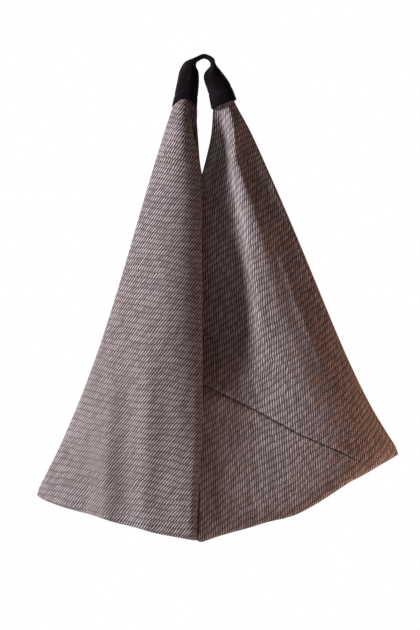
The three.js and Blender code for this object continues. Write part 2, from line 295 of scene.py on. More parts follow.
def make_black_cloth():
    material, wire = new_material("black cloth")
    flat = wire.node("ShaderNodeUVMap", {"uv_map": MAP_NAME})
    parts = wire.node("ShaderNodeSeparateXYZ", inputs={0: flat})
    height = (parts.pick("X") / FINE_PITCH).wave() * (parts.pick("Y") / FINE_PITCH).wave()
    dust = flat.cloud(scale=70.0, detail=5.0).step(*DUST_EDGES)
    colour = (FINE_WEAVE * height + DUST * dust).blend(BLACK, BLACK_WORN)
    finish_cloth(wire, colour, height, depth=0.0003, roughness=0.95, sheen=0.01)
    return material


def make_thread():
    material, wire = new_material("sewing thread")
    twist = wire.node("ShaderNodeTexCoord", output="Object").cloud(scale=1500.0)
    colour = twist.blend(THREAD_DARK, THREAD_LIGHT)
    finish_cloth(wire, colour, twist, depth=0.0002, roughness=0.8, sheen=0.05)
    return material


black_cloth = make_black_cloth()
thread = make_thread()
print("materials:", [material.name for material in (twill, black_cloth, thread)])

# %% [markdown]
# ## From a flat grid to a piece of cloth
# A woven piece is a grid by nature, so each piece starts as a flat grid whose corners are moved into place.
# It could also be cut from a solid, but a grid keeps the way of the yarns: its flat lengths are written
# into the piece's map before any edges are welded.

# %% Grid helpers
WELD_DISTANCE = 0.00002
LEAST_EDGE = 0.000001


def shaped_grid(columns, rows, place):
    """A flat grid whose corners are moved to place(column, row)."""
    form = bmesh.new()
    bmesh.ops.create_grid(form, x_segments=columns, y_segments=rows, size=0.5)
    column_layer = form.verts.layers.int.new("column")
    row_layer = form.verts.layers.int.new("row")
    for corner in form.verts:
        corner[column_layer] = round((corner.co.x + 0.5) * columns)
        corner[row_layer] = round((0.5 - corner.co.y) * rows)
        corner.co = place(corner[column_layer], corner[row_layer])
    return form


def grid_layers(form):
    """The layers that hold each corner's column and row."""
    return form.verts.layers.int["column"], form.verts.layers.int["row"]


def grid_points(form):
    """The corner of the form at each column and row."""
    column_layer, row_layer = grid_layers(form)
    return {(corner[column_layer], corner[row_layer]): corner.co.copy() for corner in form.verts}


def write_map(form, flat_place):
    """Writes each face corner's place on the flat cloth, in metres."""
    column_layer, row_layer = grid_layers(form)
    map_layer = form.loops.layers.uv.new(MAP_NAME)
    for face in form.faces:
        middle = sum(corner[column_layer] for corner in face.verts) / len(face.verts)
        for loop in face.loops:
            loop[map_layer].uv = flat_place(middle, loop.vert[column_layer], loop.vert[row_layer])


def weld(form):
    """Joins corners that meet, and turns all faces outwards."""
    bmesh.ops.remove_doubles(form, verts=form.verts, dist=WELD_DISTANCE)
    bmesh.ops.dissolve_degenerate(form, edges=form.edges, dist=LEAST_EDGE)
    bmesh.ops.recalc_face_normals(form, faces=form.faces)
    foremost = min(form.faces, key=lambda face: face.calc_center_median().y)
    if foremost.normal.y > 0:
        bmesh.ops.reverse_faces(form, faces=form.faces)


def soften(form, corners, times):
    for _ in range(times):
        bmesh.ops.smooth_vert(
            form, verts=corners, factor=0.5, use_axis_x=True, use_axis_y=True, use_axis_z=True)


def add_piece(name, form, material, thickness=0):
    """Makes an object of the form, with the cloth's thickness added on its inside."""
    mesh = bpy.data.meshes.new(name)
    form.to_mesh(mesh)
    form.free()
    mesh.shade_smooth()
    mesh.materials.append(material)
    piece = bpy.data.objects.new(name, mesh)
    bpy.context.scene.collection.objects.link(piece)
    if thickness:
        wall = piece.modifiers.new("cloth thickness", "SOLIDIFY")
        wall.thickness = thickness
        wall.offset = -1
    print(name, len(mesh.vertices), "corners,", len(mesh.polygons), "faces")
    return piece


sample = shaped_grid(3, 2, lambda column, row: Vector((column, 0, -row)))
print("a sample grid of 3 by 2 faces has", len(sample.verts), "corners")
sample.free()

# %% [markdown]
# ## The two sides of the bag
# Each side is one shell of cloth: a smooth cover on one face of the bag, wrapped round the outer edge into
# a folded wall on the other face. The left side's cover is at the front and the right side's is at the
# back. The right one could be a mirrored copy, but the right horn leans out further, so both follow the
# same formulas with sizes of their own.

# %% Sizes of the two sides
HORN_HALF_WIDTH = 0.0126
HORN_HALF_DEPTH = 0.0088
HORN_TOP = -0.0544
FLARE_RUN = 0.08
EAR_START = 0.86


@dataclass
class Side:
    """What the two sides differ in: lengths in metres, but tuck_start is a share and bow_lag a power."""
    reach: float
    lean: float
    corner_drop: float
    belly_reach: float
    belly_drop: float
    bow: float
    bow_lag: float
    tuck_start: float
    wall_drop: float
    wall_corner_drop: float
    horn_centre: float
    flare: float
    ear: float
    room: float


LEFT = Side(
    reach=0.191, lean=0.040, corner_drop=0.502, belly_reach=0.110, belly_drop=0.526, bow=0.0125,
    bow_lag=1.55, tuck_start=0.11, wall_drop=0.536, wall_corner_drop=0.505, horn_centre=0.0224,
    flare=0.0, ear=0.0015, room=0.0)
RIGHT = Side(
    reach=0.224, lean=0.025, corner_drop=0.457, belly_reach=0.107, belly_drop=0.534, bow=0.0085,
    bow_lag=2.4, tuck_start=0.055, wall_drop=0.538, wall_corner_drop=0.458, horn_centre=0.0239,
    flare=0.003, ear=0.002, room=0.0075)


def horn_point(centre, angle):
    across = centre + HORN_HALF_WIDTH * math.cos(angle)
    return Vector((across, HORN_HALF_DEPTH * math.sin(angle), HORN_TOP))


def edge_place(side, down):
    """How far a side's outer edge is moved out: it bows in, and flares at its top and at the corner."""
    flares = side.flare * smooth_step(0, FLARE_RUN, down) + side.ear * smooth_step(EAR_START, 1, down)
    return flares - side.bow * math.sin(math.pi * down ** side.bow_lag)


print("outer edges bow in by", -edge_place(LEFT, 0.5), "and", -edge_place(RIGHT, 0.5), "m halfway down")

# %% [markdown]
# ### Loose cloth at the floor
# Just above the floor both walls turn in with a short curl, and the floor edge runs in small waves. A
# displace modifier could shake the finished cloth too, but the same noise inside the formulas also moves
# the hems and the stitches, so they stay on it.

# %% Curl, slack and waves
FLOOR_TUCK = 0.006
FLOOR_TUCK_SPAN = (0.86, 1.03)
FLOOR_CURL = 0.0095
CURL_RUN = 0.055
EDGE_POWER = 8
SLACK = 0.0016
SLACK_LENGTH = 0.075
EDGE_WAVE = 0.0016
EDGE_WAVE_LENGTH = 0.035
EDGE_WAVE_START = 0.8


def floor_curl(across, down):
    """How far a wall turns in above the floor. The high power ends the curl at the outer edge."""
    share = min(max((down - 1) / CURL_RUN + 1, 0), 1)
    return FLOOR_CURL * (1 - math.sqrt(1 - share ** 2)) * (1 - across ** EDGE_POWER)


def settled(point, across, down):
    """Adds what loose cloth does: it turns in at the floor, wanders in depth and waves along its edge."""
    point.y += FLOOR_TUCK * (1 - across) * smooth_step(*FLOOR_TUCK_SPAN, down) + floor_curl(across, down)
    point.y += SLACK * noise(point / SLACK_LENGTH) * math.sin(math.pi * down)
    wave = noise(Vector((abs(point.x) / EDGE_WAVE_LENGTH, 0, 0)))
    point.z += EDGE_WAVE * wave * smooth_step(EDGE_WAVE_START, 1, down)
    return point


print("the curl turns in by", floor_curl(0, 1), "m")

# %% [markdown]
# ### The smooth cover
# The cover hangs from the horn like a curtain. Its outer edge bows in, and towards the lip it turns away in
# a wide soft shoulder. Low down the loose cloth falls into shallow flutes, which the light from the left
# draws as soft darker stripes. All of this could be sculpted by hand, but as a formula it can be moved and
# measured.

# %% The cover's formula
KEEL_DEPTH = 0.110
KEEL_DROP = 0.546
LIP_ANGLE = -0.38 * math.pi
LIP_REACH = 0.015
LIP_STEP_IN = 0.007
LIP_STEP_SPAN = (0.05, 0.2, 0.7, 1)
COVER_BELLY_DEPTH = 0.095
COVER_BULGE = 0.004
BULGE_PEAK = 4 / 27  # the highest value of x squared times 1 - x
BULGE_SPAN = (0.45, 0.85)
SWELL = 0.0065
SWELL_PLACE = 0.07
SWELL_SPREAD = 0.06
SHOULDER_START = 0.42
SHOULDER_DEPTH = 0.142
SHOULDER_FADE = 0.95
SHOULDER_FADE_SPAN = (0.5, 1)
FLUTE_DEPTH = 0.0028
FLUTE_WIDTH = 0.047
FLUTE_PLACE = -0.063
FLUTES_ACROSS = (0, 0.5, 0.6, 0.85)
FLUTES_DOWN = (0.5, 0.8)


def cover_base(across, down, side):
    """The cover before its folds: it joins the horn to the floor edge."""
    top = horn_point(-side.horn_centre, mix(LIP_ANGLE, -math.pi, across))
    floor_edge = three_point_curve(
        Vector((-LIP_REACH, -KEEL_DEPTH, -KEEL_DROP)),
        Vector((-side.belly_reach, -COVER_BELLY_DEPTH, -side.belly_drop)),
        Vector((-side.reach, -side.lean, -side.corner_drop)), across)
    point = top.lerp(floor_edge, down)
    point.x -= across * edge_place(side, down)
    point.x += LIP_STEP_IN * (1 - across) ** 2 * window(LIP_STEP_SPAN, down)
    return point


def shoulder(across, down, side):
    """How far the cover turns away towards its lip."""
    width = mix(2 * HORN_HALF_WIDTH, side.reach - LIP_REACH, down)
    kept = 1 - SHOULDER_FADE * smooth_step(*SHOULDER_FADE_SPAN, down)
    return SHOULDER_DEPTH * width * max(1 - across / SHOULDER_START, 0) ** 2 * kept


def flutes(place, across, down):
    """How far the flutes stand forward, at a place along the bag's width."""
    wave = math.cos(math.tau * (place - FLUTE_PLACE) / FLUTE_WIDTH)
    return FLUTE_DEPTH * wave * window(FLUTES_ACROSS, across) * smooth_step(*FLUTES_DOWN, down)


def cover_point(across, down, side):
    """A point of the cover, from the rolled lip across to the outer edge and from the horn down."""
    point = cover_base(across, down, side)
    bulge = across ** 2 * (1 - across) / BULGE_PEAK
    point.y -= COVER_BULGE * bulge * smooth_step(*BULGE_SPAN, down)
    point.y -= SWELL * hump(down, SWELL_PLACE, SWELL_SPREAD) * (1 - across ** 2)
    point.y += shoulder(across, down, side) - flutes(point.x, across, down)
    return settled(point, across, down)


print("left lip runs from", cover_point(0, 0, LEFT), "to", cover_point(0, 1, LEFT))

# %% [markdown]
# ### The folded wall and its recess
# The wall on the other face hangs back behind the neighbour's lip, where it lies in shadow, and comes
# forward again in one step. Two walls could be made, one for each depth, but the real cloth is one piece
# there, so one formula joins the horn to the floor and another sets it back.

# %% The wall before its ridge
KEEL_RISE = -0.003
TUCK_REACH = 0.005
TUCK_DEPTH = 0.011
WALL_BELLY_DEPTH = 0.071
WALL_BELLY_REACH = 0.27
WALL_CORNER_DEPTH = 0.075
WALL_CORNER_REACH = 0.92
GATHER_SHIFT = 0.1
GATHER_SPAN = (0.05, 0.28)
RECESS_DEPTH = 0.023
RECESS_SLOPE = 0.3
RECESS_FADE = 0.92
RECESS_FADE_SPAN = (0.66, 1)
RECESS_LOW_SPAN = (0.54, 0.74)
LOW_RECESS_EDGE = 0.3
LOW_RECESS_OUTER = 0.45
LOW_RECESS_PLACES = (0, 0.35, 0.75)
STEP_DEPTH = 0.016
STEP_SPAN = (0.49, 0.34)
STEP_FADE_SPAN = (0.5, 0.72)
OPENING_SPAN = (-0.1, 0.16)
UPPER_OPENING = 0.72
FULL_OPENING_SPAN = (0.3, 0.46)


def wall_base(across, down, side):
    """The folded wall before its folds: it joins the horn to the floor edge."""
    top = horn_point(side.horn_centre, mix(-math.pi, 0, across))
    floor_edge = four_point_curve(
        Vector((-TUCK_REACH, TUCK_DEPTH - KEEL_DEPTH, KEEL_RISE - KEEL_DROP)),
        Vector((WALL_BELLY_REACH * side.reach, -WALL_BELLY_DEPTH, -side.wall_drop)),
        Vector((WALL_CORNER_REACH * side.reach, -WALL_CORNER_DEPTH, -side.wall_corner_drop)),
        Vector((side.reach, side.lean, -side.corner_drop)), across)
    point = top.lerp(floor_edge, down)
    point.x += across * edge_place(side, down)
    return point


def gathered(place, down):
    """Under the sleeve the gathered cloth brings its folds closer to the middle of the bag."""
    return place + GATHER_SHIFT * (1 - smooth_step(*GATHER_SPAN, down))


def hollow(place, down):
    """How deep the wall is set back: most at its inner edge high up, and most further out low down."""
    start, deepest, end = LOW_RECESS_PLACES
    low = mix(LOW_RECESS_EDGE, 1, smooth_step(start, deepest, place))
    low -= LOW_RECESS_OUTER * smooth_step(deepest, end, place)
    profile = mix(1 - RECESS_SLOPE * place, low, smooth_step(*RECESS_LOW_SPAN, down))
    kept = 1 - RECESS_FADE * smooth_step(*RECESS_FADE_SPAN, down)
    return RECESS_DEPTH * profile * (1 - place ** EDGE_POWER) * kept


def recess(place, down):
    """How far the wall hangs back behind the lip, before it steps forward."""
    opened = smooth_step(*OPENING_SPAN, down) * mix(UPPER_OPENING, 1, smooth_step(*FULL_OPENING_SPAN, down))
    step = smooth_step(*STEP_SPAN, gathered(place, down)) * (1 - smooth_step(*STEP_FADE_SPAN, down))
    return (hollow(place, down) + STEP_DEPTH * step) * opened


print("the recess is up to", max(recess(0, down / 100) for down in range(101)), "m deep")

# %% [markdown]
# ### The ridge and the pleat
# In front of the recess the cloth stands up in a long soft ridge that runs down to the corner, with one
# narrow pleat behind it. At the floor it lies almost flat and hangs a little lower where it is loose. Each
# fold could be a curve drawn on the wall, but as a hump that drifts on its way down it needs only a few
# values.

# %% The wall's formula
RIDGE_HEIGHT = 0.0098
RIDGE_LOW_HEIGHT = 0.006
RIDGE_PLACE = 0.52
RIDGE_DRIFT = 0.2
RIDGE_START_SHIFT = 0.19
RIDGE_START_SPAN = (0.03, 0.15)
RIDGE_SPREAD = 0.13
RIDGE_LOW_SPREAD = 0.2
RIDGE_LOW_SPAN = (0.15, 0.6)
PLEAT_HEIGHT = 0.0014
PLEAT_PLACE = 0.67
PLEAT_DRIFT = 0.21
PLEAT_SPREAD = 0.03
FOLDED_SPAN = (-0.02, 0.09, 0.55, 1)
HANG = 0.0105
HANG_PLACE = 0.5
HANG_SPREAD = 0.18
CORNER_HANG = 0.15 * HANG
CORNER_HANG_PLACE = 0.85
CORNER_HANG_SPREAD = 0.05
HANG_START = 0.7
TUCK_UNDER = 0.015
TUCK_POWER = 5
TUCK_RUN = 0.2
MIDDLE_GAP = 0.0024
ROOM_RUN = 0.012
ROOM_FADE_SPAN = (0.13, 0.25)
LEAST_ROOM = 0.001
LIMIT_SHARPNESS = 6


def ridges(place, down):
    """How far the long ridge and the narrow pleat stand forward."""
    lower = smooth_step(*RIDGE_LOW_SPAN, down)
    start_shift = RIDGE_START_SHIFT * (1 - smooth_step(*RIDGE_START_SPAN, down))
    crest = RIDGE_PLACE + RIDGE_DRIFT * down + start_shift
    ridge = hump(gathered(place, down), crest, mix(RIDGE_SPREAD, RIDGE_LOW_SPREAD, lower))
    pleat = PLEAT_HEIGHT * hump(place, PLEAT_PLACE + PLEAT_DRIFT * down, PLEAT_SPREAD)
    return (mix(RIDGE_HEIGHT, RIDGE_LOW_HEIGHT, lower) * ridge + pleat) * window(FOLDED_SPAN, down)


def within(depth, room):
    """The depth where there is room for it, and softly less where there is not."""
    crowding = (depth / max(room, LEAST_ROOM)) ** LIMIT_SHARPNESS
    return depth / (1 + crowding) ** (1 / LIMIT_SHARPNESS)


def hang(place, down):
    """How far the wall's floor edge hangs down where the cloth is loose."""
    loose = HANG * hump(place, HANG_PLACE, HANG_SPREAD)
    loose += CORNER_HANG * hump(place, CORNER_HANG_PLACE, CORNER_HANG_SPREAD)
    return loose * smooth_step(HANG_START, 1, down)


def wall_point(across, down, side):
    """A point of the folded wall, from its inner edge to the outer edge, as seen at the front right."""
    point = wall_base(across, down, side)
    inner = wall_base(0, down, side).x
    place = (point.x - inner) / (wall_base(1, down, side).x - inner)
    tuck_end = side.tuck_start + TUCK_RUN
    tucked = window((side.tuck_start, tuck_end, tuck_end, 1), down)
    point.x -= TUCK_UNDER * (1 - across) ** TUCK_POWER * tucked
    room = side.room * smooth_step(0, ROOM_RUN, point.x) * (1 - smooth_step(*ROOM_FADE_SPAN, down))
    point.y += within(recess(place, down), room - MIDDLE_GAP - point.y) - ridges(place, down)
    point = settled(point, across, down)
    point.z -= hang(place, down)
    return point


print("right wall's outer edge runs from", wall_point(1, 0, RIGHT), "to", wall_point(1, 1, RIGHT))

# %% [markdown]
# ### Columns and rows of a shell
# The columns of a shell's grid run from the inside strip of the lip hem, round the roll, over the cover,
# round the outer edge, over the folded wall and round its own narrow hem. The rows run from the horn's end
# inside the sleeve, down the walls and under the bag to the middle of the floor. The seam could be cut into
# an even grid later, but here one row lies exactly on it, so that it can be pulled in as a real groove.

# %% Where each row of a shell goes
STRIP_COLUMNS = 6
ROLL_COLUMNS = 10
WALL_COLUMNS = 72
HALF_COLUMNS = STRIP_COLUMNS + ROLL_COLUMNS + WALL_COLUMNS
HORN_ROWS = 8
UPPER_ROWS = 100
LOWER_ROWS = 48
FLOOR_ROWS = 28
SEAM_ROW = HORN_ROWS + UPPER_ROWS
FLOOR_ROW = SEAM_ROW + LOWER_ROWS
SHELL_ROWS = FLOOR_ROW + FLOOR_ROWS
EVEN_SHARE = 0.3
MOUTH_END = 0.644
SEAM_RISE = 0.207
SEAM_CURVE = 0.366


def seam_down(across):
    return min(MOUTH_END + SEAM_RISE * across + SEAM_CURVE * across ** 2, 1)


def row_down(row, across):
    """How far down the wall a row lies. Rows are closest together along the seam."""
    seam = seam_down(across)
    if row <= SEAM_ROW:
        above = (SEAM_ROW - row) / UPPER_ROWS
        return seam * (1 - above * mix(above, 1, EVEN_SHARE))
    below = (row - SEAM_ROW) / LOWER_ROWS
    return mix(seam, 1, mix(smooth_step(0, 1, below), below, EVEN_SHARE))


print("a shell has", 2 * HALF_COLUMNS, "by", SHELL_ROWS, "faces, with the seam at row", SEAM_ROW)

# %% [markdown]
# ### From the horn to the floor
# The back of the bag is its front turned half a turn, so the folded wall of a side is worked out at the
# front and turned. The floor spans from one floor edge to the other and sags. The horn's end is pressed
# together inside the sleeve. The lower corner could be rounded with a bevel, but drawing its points in
# keeps the grid.

# %% A shell without its hems
HORN_INSIDE_SLEEVE = 0.016
HORN_PRESS = 0.6
KEEL_SKEW = 0.085
KEEL_ROLL = 0.004
KEEL_GAP = 0.0006
KEEL_JOIN_POWER = 6
KEEL_JOIN_RUN = 0.1
FLOOR_SAG = 0.006
CORNER_RUN = 0.015
CORNER_PULL = Vector((0.0052, 0, 0.0020))


def turned(point):
    return Vector((-point.x, -point.y, point.z))


def floor_point(across, back, side):
    """A point of the floor, from the cover's floor edge (0) to the folded wall's (1)."""
    point = cover_point(across, 1, side).lerp(turned(wall_point(across, 1, side)), back)
    to_keel = KEEL_SKEW * point.y - KEEL_ROLL - KEEL_GAP - point.x
    joined = smooth_step(0, KEEL_JOIN_RUN, min(back, 1 - back))
    point.x += to_keel * (1 - across) ** KEEL_JOIN_POWER * joined
    point.z -= FLOOR_SAG * math.sin(math.pi * back) * (1 - across)
    return point


def blunted(point, side):
    """Rounds the lower corner of a side: the closer to the tip, the further a point is drawn in."""
    tip = Vector((-side.reach - side.flare - side.ear, -side.lean, -side.corner_drop))
    close = max(1 - (point - tip).length / CORNER_RUN, 0)
    return point + CORNER_PULL * close ** 2


def shell_point(is_cover, across, row, side):
    """A point of a shell without its hems, in the left side's place."""
    if row > FLOOR_ROW:
        under = 0.5 * (row - FLOOR_ROW) / FLOOR_ROWS
        return blunted(floor_point(across, under if is_cover else 1 - under, side), side)
    down = row_down(max(row, HORN_ROWS), across)
    point = cover_point(across, down, side) if is_cover else turned(wall_point(across, down, side))
    if row < HORN_ROWS:
        inside = 1 - row / HORN_ROWS
        point.z += HORN_INSIDE_SLEEVE * inside
        point.x = mix(point.x, -side.horn_centre, HORN_PRESS * inside)
    return blunted(point, side)


print("the middle of the floor lies at", floor_point(0, 0.5, LEFT))

# %% [markdown]
# ### Hems and seam
# The cover's edge is rolled over its own seam allowance, so it is thick and round. The folded wall's edge
# has a narrow hem. Along the floor both run into one fold at the keel. The rolls could be tubes of their
# own, but as more columns of the same grid they have no gap to the wall. The seam pulls the cloth in along
# its line.

# %% Hems along a shell's two edges
LIP_ROLL = 0.0076
LIP_ROLL_DEPTH = 0.0036
LIP_TILT = 0.6
NARROW_ROLL = 0.0026
HEM_START = 0.3
HEM_GROWS = (HORN_ROWS + 1, HORN_ROWS + 12)
HEM_NARROWS = (FLOOR_ROW - 1, FLOOR_ROW + 8)
HEM_TURNS = (FLOOR_ROW - 16, FLOOR_ROW + 6)
STRIP_SHARE = 0.1
STRIP_EASE = 0.15
SEAM_DEPTH = 0.0032
SEAM_SPREAD = 1.2
SEAM_STOP = 0.73
SEAM_FADE = 0.08
PUFF_HEIGHT = 0.0009
PUFF_PLACE = 5
PUFF_SPREAD = 3


def hem_frame(is_cover, row):
    """The hem's two radii, its tilt and the direction into the bag, at a row."""
    into_keel = smooth_step(*HEM_TURNS, row)
    narrowed = smooth_step(*HEM_NARROWS, row)
    grown = mix(HEM_START, 1, smooth_step(*HEM_GROWS, row))
    wide = mix((LIP_ROLL if is_cover else NARROW_ROLL) * grown, KEEL_ROLL, narrowed)
    deep = mix((LIP_ROLL_DEPTH if is_cover else NARROW_ROLL) * grown, KEEL_ROLL, narrowed)
    tilt = LIP_TILT * (1 - into_keel) if is_cover else 0
    inward = Vector((0, 1 if is_cover else -1, 0)).lerp(Vector((0, 0, 1)), into_keel)
    return wide, deep, tilt, inward.normalized()


def hem_point(is_cover, column, row, side):
    """A point of the roll or of the strip behind it. Columns count from the wall's edge."""
    wide, deep, tilt, inward = hem_frame(is_cover, row)
    angle = math.pi * (min(column / ROLL_COLUMNS, 1) - 0.5)
    strip = max(column - ROLL_COLUMNS, 0) / STRIP_COLUMNS
    sideways = wide * math.cos(angle)
    back = deep * (1 + math.sin(angle)) * (1 - STRIP_EASE * strip) + tilt * sideways
    return shell_point(is_cover, STRIP_SHARE * strip, row, side) + Vector((sideways, 0, 0)) + inward * back


def seam_groove(is_cover, across, row):
    """The seam pulls the cloth in along its line, and the cloth puffs up beside it."""
    if is_cover or across > SEAM_STOP:
        return 0
    puff = hump(abs(row - SEAM_ROW), PUFF_PLACE, PUFF_SPREAD)
    depth = SEAM_DEPTH * hump(row, SEAM_ROW, SEAM_SPREAD) - PUFF_HEIGHT * puff
    return depth * smooth_step(0, SEAM_FADE, SEAM_STOP - across)


def shell_place(column, row, side):
    """The place of one grid corner of a shell, as it hangs on the left side."""
    is_cover = column <= HALF_COLUMNS
    from_fold = abs(column - HALF_COLUMNS)
    if from_fold > WALL_COLUMNS:
        return hem_point(is_cover, from_fold - WALL_COLUMNS, row, side)
    across = 1 - from_fold / WALL_COLUMNS
    point = shell_point(is_cover, across, row, side)
    point.y -= seam_groove(is_cover, across, row)
    return point


print("the lip's roll is", 2 * hem_frame(True, SEAM_ROW)[1], "m thick")

# %% [markdown]
# ### The flat map of a shell
# To lay the yarns, each corner needs its place on the flat strip. Blender's unwrapping could find one, but
# it would turn and stretch the yarns as it likes. Here the lengths are measured along level sections of
# each wall. On the folded wall the cloth lies at a slant, because the strip was turned when it was folded.

# %% Flat places on the strip
WALL_SLANT = math.radians(33)
COVER_SLANT = math.radians(-7.5)
LEVELS = 40
HEM_STEP = 0.0022


def level_lengths(surface, side):
    """Lengths along level sections of a wall, from its edge to each column."""
    table = []
    for level in range(LEVELS + 1):
        points = [surface(column / WALL_COLUMNS, level / LEVELS, side) for column in range(WALL_COLUMNS + 1)]
        lengths = [0]
        for start, end in zip(points, points[1:]):
            lengths.append(lengths[-1] + math.hypot(end.x - start.x, end.y - start.y))
        table.append(lengths)
    return table


def length_at(table, from_edge, row):
    """The flat distance from a wall's edge to a column. Columns of the hem count below zero."""
    if from_edge < 0:
        return from_edge * HEM_STEP
    down = 0 if row < HORN_ROWS else row_down(min(row, FLOOR_ROW), from_edge / WALL_COLUMNS)
    level = min(int(down * LEVELS), LEVELS - 1)
    return mix(table[level][from_edge], table[level + 1][from_edge], down * LEVELS - level)


def height_at(points, column, row):
    """The height on the flat cloth: under the floor it goes on along the floor."""
    if row <= FLOOR_ROW:
        return points[column, row].z
    return points[column, FLOOR_ROW].z - (points[column, row] - points[column, FLOOR_ROW]).length


def on_strip(along, up, slant):
    """A wall's own place, turned to the direction of the strip it was cut from."""
    return along * math.cos(slant) + up * math.sin(slant), up * math.cos(slant) - along * math.sin(slant)


def shell_map(points, side):
    """The flat place of each corner: the cover's yarns follow its lip, and the wall's lie at a slant."""
    cover_lengths = level_lengths(cover_point, side)
    wall_lengths = level_lengths(wall_point, side)
    hem = STRIP_COLUMNS + ROLL_COLUMNS

    def flat_place(face_column, column, row):
        up = height_at(points, column, row)
        if face_column < HALF_COLUMNS:
            return on_strip(-length_at(cover_lengths, column - hem, row), up, COVER_SLANT)
        return on_strip(length_at(wall_lengths, 2 * HALF_COLUMNS - hem - column, row), up, WALL_SLANT)

    return flat_place


print("the cloth of the left cover is", level_lengths(cover_point, LEFT)[-1][-1], "m wide at the floor")

# %% [markdown]
# ### Building the shells
# On the real bag both sides come from one strip. Here each is one grid, so that each can follow its own
# body. The grid is shaped and mapped, and its front and back halves are welded along the middle of the
# floor. The sharp folds are then softened, and the cloth's thickness is added last, on the inside.

# %% Make the left and right shells
CLOTH_THICKNESS = 0.0018
FOLD_WIDTH = 4
FOLD_ROUNDS = 5
PULL_COLUMNS = (HALF_COLUMNS - 2, HALF_COLUMNS + 6)


def make_shell(name, side, place_in_bag):
    form = shaped_grid(2 * HALF_COLUMNS, SHELL_ROWS, lambda column, row: shell_place(column, row, side))
    write_map(form, shell_map(grid_points(form), side))
    column_layer, row_layer = grid_layers(form)
    weld(form)
    folds = [
        corner for corner in form.verts
        if abs(corner[column_layer] - HALF_COLUMNS) < FOLD_WIDTH
        or abs(corner[row_layer] - FLOOR_ROW) < FOLD_WIDTH]
    soften(form, folds, FOLD_ROUNDS)
    pull_layer = form.verts.layers.float.new(PULL_NAME)
    for corner in form.verts:
        corner.co = place_in_bag(corner.co)
        corner[pull_layer] = smooth_step(*PULL_COLUMNS, corner[column_layer])
    return add_piece(name, form, twill, CLOTH_THICKNESS)


left_shell = make_shell("left_shell", LEFT, lambda point: point)
right_shell = make_shell("right_shell", RIGHT, turned)
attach(left_shell, "left_side")
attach(right_shell, "right_side")
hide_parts("left_front_panel", "left_back_panel", "left_back_corner", "left_base_panel",
            "left_horn_tip", "front_lip_hem")
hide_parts("right_back_panel", "right_front_panel", "right_front_corner", "right_base_panel",
            "right_horn_tip", "back_lip_hem")

# %% [markdown]
# ## The keel fold
# Below the mouth the two sides are one cloth, folded inwards between them. This fold runs from the end of
# the front mouth, under the bag along the keel, to the end of the back mouth. It could belong to one of the
# sides, but it opens when they are spread, so it is a piece of its own between the two.

# %% Make the keel fold
KEEL_FOLD_DEPTH = 0.022
KEEL_FOLD_COLUMNS = 16
KEEL_HALF_ROWS = SHELL_ROWS - SEAM_ROW
STRIP_LIFT = 1.5 * CLOTH_THICKNESS


def strip_end(is_cover, row, side):
    """The inner end of a shell's hem strip, lifted a little off it."""
    inward = hem_frame(is_cover, row)[-1]
    return hem_point(is_cover, ROLL_COLUMNS + STRIP_COLUMNS, row, side) + inward * STRIP_LIFT


def keel_fold_point(column, row):
    """The fold's section is a V between the two strips, with its point inside the bag."""
    at_front = row <= KEEL_HALF_ROWS
    shell_row = SEAM_ROW + (row if at_front else 2 * KEEL_HALF_ROWS - row)
    left_end = strip_end(at_front, shell_row, LEFT)
    right_end = turned(strip_end(not at_front, shell_row, RIGHT))
    inward = hem_frame(at_front, shell_row)[-1]
    share = column / KEEL_FOLD_COLUMNS
    depth = KEEL_FOLD_DEPTH * math.sin(math.pi * share) ** 2
    return left_end.lerp(right_end, share) + inward * depth


def keel_map(points):
    def flat_place(_, column, row):
        return points[column, row].x, points[column, row].y + points[column, row].z
    return flat_place


def make_keel_fold():
    form = shaped_grid(KEEL_FOLD_COLUMNS, 2 * KEEL_HALF_ROWS, keel_fold_point)
    write_map(form, keel_map(grid_points(form)))
    weld(form)
    return add_piece("keel_fold", form, twill, CLOTH_THICKNESS)


keel_fold = make_keel_fold()
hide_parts("front_pleat", "back_pleat")
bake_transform(keel_fold)

# %% [markdown]
# ## The sleeve
# The black sleeve is a tube that is round at its two mouths and pressed flat at the top of its arch. The
# arch leans a little to the left, and the right leg is slack near its top. A circle swept along a curve
# would be too even, so the tube is lofted through stations along the arch: each has the two ends of its
# section in the front view, and a half depth.

# %% The sleeve's stations


@dataclass
class Station:
    """One section of the sleeve: its inner and outer end in the front view, and its half depth."""
    inner_x: float
    inner_z: float
    outer_x: float
    outer_z: float
    half_depth: float


SLEEVE_STATIONS = [
    Station(-0.0081, -0.0530, -0.0370, -0.0530, 0.0108),
    Station(-0.0069, -0.0400, -0.0338, -0.0400, 0.0112),
    Station(-0.0055, -0.0260, -0.0304, -0.0262, 0.0125),
    Station(-0.0064, -0.0170, -0.0276, -0.0155, 0.0135),
    Station(-0.0092, -0.0110, -0.0218, -0.0063, 0.0142),
    Station(-0.0080, -0.0052, -0.0125, -0.0021, 0.0150),
    Station(0.0000, -0.0008, 0.0006, 0.0022, 0.0150),
    Station(0.0068, -0.0050, 0.0108, -0.0020, 0.0150),
    Station(0.0070, -0.0110, 0.0138, -0.0088, 0.0142),
    Station(0.0012, -0.0172, 0.0196, -0.0161, 0.0135),
    Station(-0.0004, -0.0240, 0.0248, -0.0245, 0.0127),
    Station(0.0044, -0.0365, 0.0308, -0.0365, 0.0113),
    Station(0.0085, -0.0545, 0.0376, -0.0545, 0.0108),
]


def through(before, start, end, after, share):
    """A smooth curve from start to end that also heads for its neighbours."""
    leave = (end - before) / 2
    arrive = (after - start) / 2
    square, cube = share ** 2, share ** 3
    return ((2 * cube - 3 * square + 1) * start + (cube - 2 * square + share) * leave
            + (3 * square - 2 * cube) * end + (cube - square) * arrive)


